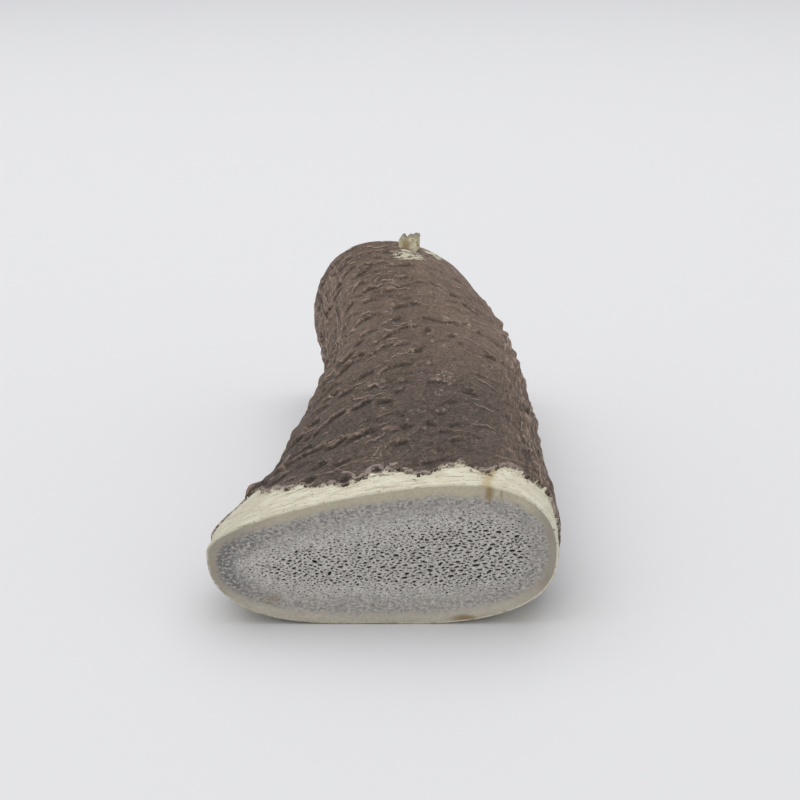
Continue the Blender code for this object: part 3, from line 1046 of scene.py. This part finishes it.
def bark_material():
    material = bpy.data.materials.new("antler_bark")
    t = Tree(material)
    skin = t.vector("skin")
    wander = t.noise(skin, 0.35, 2.0, 0.5, colour=True)
    loose = t.shift(skin, wander, 1.6)
    along = t.stretch(loose, (1.0, 1.0, 0.14))       # streaks down the beam
    around = t.stretch(loose, (0.10, 0.10, 1.0))     # scrapes round it
    edge_d, lip, low, chip = (t.number(n) for n in ("edge_d", "lip", "low", "chip"))

    # Bark
    around_mm = t.number("around")
    wide = t.noise(skin, 0.085, 3.0, 0.55)
    streak = t.noise(along, 1.6, 4.0, 0.62)
    fine = t.noise(loose, 3.2, 4.0, 0.65)
    blot = t.noise(loose, 0.62, 3.0, 0.6)
    far = t.ramp(t.math("ADD", t.number("along"), t.times(t.add(wide, -0.5), 60.0)), 18.0, 92.0)
    flank = t.ramp(t.math("ABSOLUTE", t.add(around_mm, -2.0)), 8.0, 27.0)
    right = t.ramp(around_mm, 9.0, 24.0)
    warm = t.math("MAXIMUM", far, t.times(right, 0.75))
    colour = t.mix(warm, (0.080, 0.0625, 0.0505), (0.176, 0.121, 0.088))
    colour = t.mix(t.times(t.times(flank, far), 0.95), colour, (0.255, 0.186, 0.142))
    sunny = t.times(far, t.ramp(around_mm, -4.0, 8.0))
    colour = t.mix(t.times(sunny, 0.42), colour, (0.255, 0.184, 0.138))
    colour = t.mix(t.ramp(wide, 0.48, 0.66, 0.0, 0.6), colour, (0.120, 0.088, 0.070))
    colour = t.mix(t.ramp(streak, 0.46, 0.62, 0.0, 0.55), colour, (0.170, 0.126, 0.100))
    colour = t.mix(t.ramp(streak, 0.46, 0.34, 0.0, 0.45), colour, (0.058, 0.046, 0.040))
    speck = t.noise(loose, 1.7, 4.0, 0.7)
    colour = t.mix(t.ramp(speck, 0.51, 0.62, 0.0, 0.58), colour, (0.245, 0.182, 0.145))
    colour = t.mix(t.ramp(speck, 0.49, 0.38, 0.0, 0.60), colour, (0.046, 0.036, 0.031))
    colour = t.mix(t.ramp(blot, 0.52, 0.72, 0.0, 0.5), colour, (0.090, 0.074, 0.066))
    colour = t.mix(t.ramp(fine, 0.54, 0.70, 0.0, 0.60), colour, (0.255, 0.196, 0.158))
    colour = t.mix(t.ramp(fine, 0.46, 0.32, 0.0, 0.62), colour, (0.046, 0.037, 0.032))

    # Torn layers of bark: crisp crescents at two sizes, with painted shade on
    # one side of a layer's edge and a painted highlight along the other.
    strip = t.ramp(t.math("ABSOLUTE", t.add(around_mm, -5.0)), 3.0, 11.0, 0.25, 1.0)
    strip = t.times(strip, t.ramp(around_mm, 12.0, 21.0, 1.0, 0.30))
    patchy = t.ramp(t.noise(skin, 0.21, 2.0, 0.5), 0.42, 0.60, 0.05, 1.0)

    def layer(flatten, scale, edge, shade_mm, highlight_mm):
        def covered(by):
            moved = t.node("ShaderNodeVectorMath", operation="ADD")
            t.link(loose, moved.inputs[0])
            moved.inputs[1].default_value = (0.0, 0.0, by)
            return t.ramp(t.noise(t.stretch(moved.outputs[0], flatten), scale, 2.0, 0.45), edge, edge + 0.035)

        here = covered(0.0)
        gate = t.times(strip, patchy)
        # Painted shade on one side of the edge, painted highlight on the other.
        dark = t.times(t.math("SUBTRACT", covered(shade_mm), here, clamp=True), gate)
        edge_highlight = t.times(t.math("SUBTRACT", here, covered(-highlight_mm), clamp=True), gate)
        return t.times(here, gate), dark, edge_highlight

    big, big_shade, big_highlight = layer((0.70, 0.70, 1.0), 0.34, 0.505, 1.25, 0.65)
    small, small_shade, small_highlight = layer((0.85, 0.85, 1.0), 0.72, 0.515, 0.50, 0.32)
    # Pale streaks down the flanks: a painted highlight along their crests, which also go to the bump.
    lines = t.noise(t.stretch(skin, (1.0, 1.0, 0.055)), 0.85, 3.0, 0.5)
    lines = t.ramp(t.math("ABSOLUTE", t.add(lines, -0.5)), 0.030, 0.008)
    sides = t.math("MAXIMUM", t.ramp(around_mm, 15.0, 24.0),
                   t.times(t.ramp(around_mm, -13.0, -22.0, 0.0, 0.9), t.ramp(far, 0.3, 0.8)))
    lines = t.times(lines, t.times(sides, t.ramp(t.noise(skin, 0.33, 2.0, 0.5), 0.38, 0.52)))

    # Painted shade in the grooves between the flank streaks.
    groove_shade = t.noise(t.stretch(skin, (1.0, 1.0, 0.07)), 0.95, 3.0, 0.5)
    groove_shade = t.times(t.times(t.ramp(groove_shade, 0.46, 0.39), sides), 0.85)
    # Painted shade: the grooves, the hollows with their dirt and the layers' crescents are darkened.
    dark = t.math("MAXIMUM", t.math("MAXIMUM", groove_shade, t.times(low, 0.90)), t.math("MAXIMUM", t.times(big_shade, 0.70), t.times(small_shade, 0.34)))
    colour = t.mix(dark, colour, (0.034, 0.0265, 0.0225))
    # Painted highlight, partly wear: raised crests and the layers' edges are made pale.
    pale = t.times(lip, t.ramp(t.noise(loose, 0.50, 2.0, 0.5), 0.36, 0.62, 0.15, 1.0))
    pale = t.times(pale, t.ramp(fine, 0.30, 0.55, 0.55, 1.0))
    pale = t.ramp(pale, 0.22, 0.80, 0.0, 0.62)
    thin = t.math("MAXIMUM", t.times(big_highlight, 0.85), t.times(small_highlight, 0.30))
    pale = t.math("MAXIMUM", pale, thin)
    colour = t.mix(pale, colour, (0.40, 0.300, 0.246))
    # Painted highlight along the flank streaks.
    colour = t.mix(t.times(lines, 0.85), colour, (0.47, 0.365, 0.300))
    here = t.math("MAXIMUM", t.ramp(t.number("fleck"), 0.15, 0.7), t.ramp(t.noise(skin, 0.24, 2.0, 0.5), 0.56, 0.66, 0.0, 0.4))
    fleck = t.times(t.ramp(t.noise(loose, 2.0, 2.0, 0.5), 0.55, 0.62), here)
    colour = t.mix(t.times(fleck, 0.85), colour, (0.50, 0.42, 0.34))

    # Scraped band
    scrape = t.noise(around, 2.3, 4.0, 0.68)
    cloud = t.noise(skin, 0.45, 3.0, 0.55)
    nick = t.noise(t.stretch(loose, (0.5, 0.5, 1.0)), 3.2, 2.0, 0.5)
    cream = t.mix(t.ramp(cloud, 0.35, 0.68), (0.69, 0.645, 0.49), (0.775, 0.74, 0.60))
    cream = t.mix(t.ramp(around_mm, -10.0, -24.0, 0.0, 0.52), cream, (0.50, 0.465, 0.36))
    cream = t.mix(t.ramp(scrape, 0.53, 0.63, 0.0, 0.78), cream, (0.37, 0.32, 0.215))
    cream = t.mix(t.ramp(scrape, 0.47, 0.34, 0.0, 0.5), cream, (0.80, 0.78, 0.66))
    cream = t.mix(t.ramp(nick, 0.645, 0.70, 0.0, 0.8), cream, (0.15, 0.105, 0.075))

    # The bark's edge: ragged, with a browned skin left on the band beside it.
    fibres = t.stretch(loose, (1.0, 1.0, 0.45))
    tear = t.add(edge_d, t.add(t.times(t.add(t.noise(fibres, 2.4, 3.0, 0.65), -0.5), 2.4),
                               t.times(t.add(t.noise(loose, 0.8, 2.0, 0.5), -0.5), 1.4)))
    crumbs = t.times(t.ramp(t.noise(t.stretch(loose, (0.7, 0.7, 1.0)), 0.75, 3.0, 0.6), 0.60, 0.63),
                     t.ramp(edge_d, -2.4, -0.9))
    is_bark = t.math("MAXIMUM", t.ramp(tear, -0.10, 0.06), crumbs)
    stained = t.ramp(tear, -1.5, -0.1, 0.0, 0.5)
    cream = t.mix(t.times(stained, t.ramp(t.noise(loose, 1.8, 3.0, 0.6), 0.42, 0.60)), cream, (0.42, 0.34, 0.24))
    stain_at = t.math("ABSOLUTE", t.add(around_mm, t.add(-16.2, t.times(t.noise(skin, 0.9, 2.0, 0.5), 1.2))))
    stain = t.ramp(stain_at, 1.3, 0.1, 0.0, 0.75)
    cream = t.mix(stain, cream, (0.50, 0.38, 0.19))
    tint = t.times(t.ramp(warm, 0.0, 0.9, 0.92, 1.09), t.ramp(sunny, 0.0, 1.0, 1.0, 1.16))
    colour = t.mix(1.0, t.scale_colour(colour, tint), (1.0, 0.955, 0.925), "MULTIPLY")
    peeled = t.times(t.ramp(tear, 1.6, 0.9), t.ramp(t.noise(skin, 0.36, 2.0, 0.5), 0.40, 0.52))
    peeled = t.times(peeled, t.ramp(t.noise(loose, 1.1, 2.0, 0.5), 0.40, 0.50))
    colour = t.mix(t.times(peeled, 0.75), colour, (0.47, 0.375, 0.325))
    skin_left = t.add(t.number("peel"), t.times(t.add(t.noise(loose, 1.5, 3.0, 0.6), -0.5), 1.5))
    colour = t.mix(t.ramp(skin_left, 0.64, 0.86, 0.0, 0.85), colour, (0.42, 0.352, 0.325))
    colour = t.mix(is_bark, cream, colour)
    torn = t.times(chip, t.ramp(t.noise(t.stretch(loose, (0.45, 0.45, 1.0)), 1.5, 3.0, 0.6), 0.43, 0.53))
    colour = t.mix(t.ramp(torn, 0.25, 0.70, 0.0, 0.92), colour, (0.72, 0.68, 0.52))

    rough = t.ramp(t.noise(loose, 2.0, 3.0, 0.6), 0.3, 0.75, 0.66, 0.88)
    rough_cream = t.ramp(scrape, 0.3, 0.7, 0.48, 0.66)
    mixed = t.node("ShaderNodeMix", data_type="FLOAT")
    t.link(is_bark, mixed.inputs[0])
    t.link(rough_cream, mixed.inputs[2])
    t.link(rough, mixed.inputs[3])

    bark_high = t.add(t.times(streak, 0.7), t.add(t.times(fine, 0.8), t.times(speck, 1.1)))
    bark_high = t.add(bark_high, t.add(t.times(big, 0.85), t.add(t.times(small, 0.45), t.times(lines, 0.5))))
    cream_high = t.add(t.times(scrape, 0.45), t.times(nick, -0.35))
    picked = t.node("ShaderNodeMix", data_type="FLOAT")
    t.link(is_bark, picked.inputs[0])
    t.link(cream_high, picked.inputs[2])
    t.link(bark_high, picked.inputs[3])
    normal = t.bump(picked.outputs[0], 0.00032, 1.0)
    t.finish(colour, mixed.outputs[0], normal, Metallic=0.0, Specular_IOR_Level=0.32)
    return material


def cut_material():
    material = bpy.data.materials.new("antler_cut")
    t = Tree(material)
    flat = t.vector("flat")
    rim_d, ring_t, pore = (t.number(n) for n in ("rim_d", "ring_t", "pore"))
    wander = t.noise(flat, 0.5, 2.0, 0.5, colour=True)
    loose = t.shift(flat, wander, 0.9)
    wide = t.stretch(loose, (1.0, 1.0, 1.65))          # everything lies a little flat
    cloud = t.noise(flat, 0.28, 3.0, 0.55)
    mottle = t.noise(wide, 1.7, 4.0, 0.70)
    grain = t.noise(wide, 3.3, 3.0, 0.6)
    spots = t.cells(wide, 1.15)
    spot_gate = t.noise(flat, 0.5, 2.0, 0.5)

    split = t.node("ShaderNodeSeparateXYZ")
    t.link(flat, split.inputs[0])
    left = t.ramp(split.outputs[0], -17.0, -27.0)
    sides = t.math("MAXIMUM", left, t.ramp(split.outputs[0], 18.0, 23.0))
    # Painted light: the cut is made lighter towards its bottom.
    painted_light_low = t.ramp(split.outputs[2], 8.5, 1.5)
    crown = t.ramp(split.outputs[2], 14.0, 21.0)
    rim = t.mix(t.ramp(cloud, 0.34, 0.66), (0.56, 0.49, 0.385), (0.71, 0.65, 0.52))
    rim = t.mix(t.times(crown, 0.60), rim, (0.76, 0.685, 0.480))
    rim = t.mix(t.times(sides, 0.72), rim, (0.40, 0.35, 0.295))
    # Painted light on the rim's lower part.
    rim = t.mix(t.times(painted_light_low, 0.60), rim, (0.84, 0.775, 0.655))
    blue = t.mix(t.ramp(mottle, 0.38, 0.62), (0.275, 0.261, 0.248), (0.69, 0.642, 0.590))
    blue = t.mix(t.times(t.times(left, 0.95), t.ramp(mottle, 0.66, 0.44)), blue, (0.205, 0.199, 0.194))
    blue = t.mix(t.ramp(cloud, 0.52, 0.62, 0.0, 0.35), blue, (0.34, 0.333, 0.325))
    middle = t.mix(t.ramp(mottle, 0.34, 0.66), (0.66, 0.63, 0.585), (0.80, 0.765, 0.71))
    middle = t.mix(t.ramp(grain, 0.50, 0.38, 0.0, 0.75), middle, (0.27, 0.255, 0.240))
    middle = t.mix(t.ramp(grain, 0.53, 0.64, 0.0, 0.85), middle, (0.98, 0.945, 0.88))

    to_middle = t.ramp(t.add(rim_d, t.times(t.add(t.noise(flat, 0.7, 3.0, 0.6), -0.5), 4.5)), 2.6, 6.0)
    colour = t.mix(to_middle, blue, middle)
    # Painted light on the cut's lower part.
    colour = t.mix(t.times(painted_light_low, 0.14), colour, (0.93, 0.875, 0.79))
    rim = t.mix(t.ramp(mottle, 0.42, 0.60, 0.0, 0.35), rim, (0.45, 0.40, 0.325))
    off_rim = t.ramp(t.add(ring_t, t.times(t.add(t.noise(loose, 0.8, 3.0, 0.6), -0.5), 1.3)), 0.45, 1.40)
    colour = t.mix(off_rim, rim, colour)

    # Brown stains that run in from the rim
    def stain(centre, size, strength, over):
        away = t.node("ShaderNodeVectorMath", operation="SUBTRACT")
        t.link(loose, away.inputs[0])
        away.inputs[1].default_value = centre
        squeezed = t.stretch(away.outputs[0], (1 / size[0], 0.0, 1 / size[1]))
        length = t.node("ShaderNodeVectorMath", operation="LENGTH")
        t.link(squeezed, length.inputs[0])
        return t.mix(t.ramp(length.outputs["Value"], 1.25, 0.15, 0.0, strength), over, (0.36, 0.235, 0.10))

    colour = stain((13.6, 0.0, 22.3), (0.75, 2.1), 0.85, colour)
    colour = stain((15.4, 0.0, 22.2), (0.28, 1.4), 0.55, colour)
    colour = stain((10.2, 0.0, 1.3), (2.9, 0.85), 0.85, colour)
    colour = stain((-20.0, 0.0, 4.6), (1.8, 1.2), 0.35, colour)

    colour = t.scale_colour(colour, 0.82)

    # Closed or shallow pores, as grey spots of painted shade, also dented in the bump below.
    spot = t.times(t.ramp(spots, 0.30, 0.16), t.ramp(spot_gate, 0.42, 0.56))
    spot = t.times(spot, to_middle)
    colour = t.mix(t.times(spot, 0.60), colour, (0.17, 0.162, 0.156))
    # Tiny pores, as dark dots of painted shade.
    tiny = t.times(t.ramp(t.cells(wide, 1.9), 0.36, 0.18), t.times(to_middle, t.ramp(split.outputs[0], -6.0, 11.0, 0.36, 0.95)))
    tiny = t.times(tiny, t.ramp(split.outputs[2], 4.0, 8.0, 0.3, 1.0))
    colour = t.mix(tiny, colour, (0.12, 0.114, 0.109))
    # Painted shade in the open pores' pits.
    colour = t.mix(t.ramp(pore, 0.05, 0.75, 0.0, 0.93), colour, (0.046, 0.042, 0.039))

    height = t.add(t.times(grain, 0.6), t.times(spot, -1.1))
    normal = t.bump(height, 0.00013, 0.8)
    rough = t.ramp(mottle, 0.3, 0.7, 0.46, 0.66)
    t.finish(colour, rough, normal, Metallic=0.0, Specular_IOR_Level=0.35)
    return material


def plain_material(name, colour, rough):
    material = bpy.data.materials.new(name)
    material.use_nodes = True
    shader = material.node_tree.nodes["Principled BSDF"]
    shader.inputs["Base Color"].default_value = (*colour, 1.0)
    shader.inputs["Roughness"].default_value = rough
    shader.inputs["Specular IOR Level"].default_value = 0.25
    return material


# -------------------------------------------------------------------- splinter
def build_splinter():
    """The torn nib that the saw left at the top of the back cut."""
    bm = bmesh.new()
    x0, z0 = SPLINTER_AT
    rng = np.random.default_rng(88)

    def fibre(points, radii, flat):
        """A closed tapering strand through (across, up, back) points."""
        pts = np.array(points, dtype=float)
        count = 9
        u = np.linspace(0, len(pts) - 1, count)
        path = np.stack([np.interp(u, np.arange(len(pts)), pts[:, k]) for k in range(3)], axis=1)
        size = np.interp(u, np.arange(len(radii)), radii)
        sides = 10
        rings = []
        for k in range(count):
            ring = []
            for i in range(sides):
                a = i / sides * 2 * math.pi
                r = size[k] * (1 + 0.16 * math.sin(3 * a + k) + rng.uniform(-0.06, 0.06))
                px = path[k, 0] + r * math.cos(a)
                py = path[k, 2] + r * flat * math.sin(a)
                pz = path[k, 1] + 0.15 * math.sin(2 * a + 1.3 * k) * size[k]
                ring.append(bm.verts.new(((x0 + px), (LENGTH - 0.9 + py), (z0 + pz))))
            rings.append(ring)
        for low, high in zip(rings, rings[1:]):
            for i in range(sides):
                j = (i + 1) % sides
                bm.faces.new((low[i], low[j], high[j], high[i]))
        bm.faces.new(list(reversed(rings[0])))
        bm.faces.new(rings[-1])

    fibre(((-0.4, -0.1, -7.4), (-0.2, 1.0, -4.6), (0.1, 1.8, -2.0), (0.3, 2.45, 0.0)), (1.5, 2.25, 1.95, 1.25), 0.55)
    fibre(((-1.5, -0.6, -4.0), (-1.5, 0.9, -2.4), (-1.3, 2.2, -1.0), (-0.95, 3.2, -0.2)), (0.8, 0.85, 0.75, 0.34), 0.8)
    fibre(((1.0, -0.6, -3.4), (1.2, 1.0, -1.8), (1.5, 2.3, -0.2), (1.75, 3.15, 0.7)), (0.9, 1.1, 1.0, 0.58), 0.7)
    fibre(((0.3, 0.2, -3.0), (0.5, 1.6, -1.6), (0.5, 2.5, -0.4), (0.55, 2.95, 0.4)), (0.9, 1.0, 0.85, 0.55), 0.7)
    mesh = bpy.data.meshes.new("splinter")
    bm.to_mesh(mesh)
    bm.free()
    obj = bpy.data.objects.new("splinter", mesh)
    bpy.context.scene.collection.objects.link(obj)
    remesh = obj.modifiers.new("join", "REMESH")
    remesh.mode = "VOXEL"
    remesh.voxel_size = 0.16
    bpy.context.view_layer.update()
    graph = bpy.context.evaluated_depsgraph_get()
    joined = bpy.data.meshes.new_from_object(obj.evaluated_get(graph))
    bpy.data.objects.remove(obj, do_unlink=True)
    return joined


def splinter_material():
    material = bpy.data.materials.new("antler_splinter")
    t = Tree(material)
    flat = t.vector("flat")
    strand = t.noise(t.stretch(flat, (1.0, 0.6, 0.30)), 1.7, 3.0, 0.6)
    patch = t.noise(flat, 0.8, 2.0, 0.5)
    split = t.node("ShaderNodeSeparateXYZ")
    t.link(flat, split.inputs[0])
    colour = t.mix(t.ramp(strand, 0.36, 0.64), (0.33, 0.290, 0.170), (0.57, 0.535, 0.385))
    colour = t.mix(t.ramp(patch, 0.50, 0.62, 0.0, 0.5), colour, (0.30, 0.25, 0.16))
    # Browned inside low on the left, greyed at the tips.
    inner = t.times(t.ramp(t.math("ABSOLUTE", t.add(split.outputs[0], -1.2)), 1.4, 0.3),
                    t.ramp(t.math("ABSOLUTE", t.add(split.outputs[2], -34.3)), 1.3, 0.3))
    colour = t.mix(t.times(inner, 0.9), colour, (0.20, 0.135, 0.060))
    tips = t.ramp(t.add(split.outputs[2], t.times(patch, 0.8)), 35.6, 36.5)
    colour = t.mix(t.times(tips, 0.7), colour, (0.20, 0.19, 0.17))
    normal = t.bump(strand, 0.00018, 0.9)
    t.finish(colour, 0.7, normal, Metallic=0.0, Specular_IOR_Level=0.3)
    return material


def join_splinter(antler):
    """Adds the splinter's closed mesh, with its root sunk in the rim."""
    part = build_splinter()
    co = np.empty(len(part.vertices) * 3)
    part.vertices.foreach_get("co", co)
    local = co.reshape(-1, 3).copy()
    world = to_world(local) * MM
    part.vertices.foreach_set("co", world.ravel())
    part.polygons.foreach_set("material_index", [2] * len(part.polygons))
    add_vector_attribute(part, "flat", local)
    obj = bpy.data.objects.new("splinter", part)
    bpy.context.scene.collection.objects.link(obj)
    for name in ("antler_bark", "antler_cut", "antler_splinter"):
        part.materials.append(bpy.data.materials[name])
    part.shade_smooth()
    bm = bmesh.new()
    bm.from_mesh(antler.data)
    bm.from_mesh(part)
    bm.to_mesh(antler.data)
    bm.free()
    bpy.data.objects.remove(obj, do_unlink=True)


# ----------------------------------------------------------------------- scene
antler, n_front, n_back = build_antler()
for made in (bark_material(), cut_material(), splinter_material()):
    antler.data.materials.append(made)
join_splinter(antler)
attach(antler, "root")
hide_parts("antler")

floor_mesh = bpy.data.meshes.new("floor")
floor_mesh.from_pydata([(-4, -4, 0), (4, -4, 0), (4, 4, 0), (-4, 4, 0)], [], [(0, 1, 2, 3)])
floor = bpy.data.objects.new("floor", floor_mesh)
bpy.context.scene.collection.objects.link(floor)
floor_mesh.materials.append(plain_material("floor", (0.80, 0.80, 0.82), 0.55))

world = bpy.data.worlds.new("studio")
bpy.context.scene.world = world
world.use_nodes = True
sky = world.node_tree.nodes["Background"]
sky.inputs["Color"].default_value = (0.975, 0.985, 1.0, 1.0)
sky.inputs["Strength"].default_value = 0.61


def area_light(name, at, towards, size, power, colour):
    data = bpy.data.lights.new(name, "AREA")
    data.shape = "RECTANGLE"
    data.size, data.size_y = size
    data.energy = power
    data.color = colour
    lamp = bpy.data.objects.new(name, data)
    lamp.location = at
    lamp.rotation_euler = (Vector(towards) - Vector(at)).to_track_quat("-Z", "Y").to_euler()
    bpy.context.scene.collection.objects.link(lamp)
    return lamp


area_light("overhead", (-0.12, 0.30, 1.08), (0.0, 0.0, 0.0), (1.8, 1.4), 8.6, (1.0, 0.995, 0.98))

camera_data = bpy.data.cameras.new("camera")
camera_data.sensor_width = 36.0
camera_data.lens = 78.75
camera_data.clip_start = 0.01
camera = bpy.data.objects.new("camera", camera_data)
camera.location = ((0.0 + SHIFT_X) * MM, (-249.0 + SHIFT_Y) * MM, (118.0 - PLANE[0]) * MM)
camera.rotation_euler = (math.radians(90 - 18.0), 0.0, 0.0)
bpy.context.scene.collection.objects.link(camera)
bpy.context.scene.camera = camera
bpy.context.scene.view_settings.view_transform = "Standard"

counts = antler.data
counts.calc_loop_triangles()
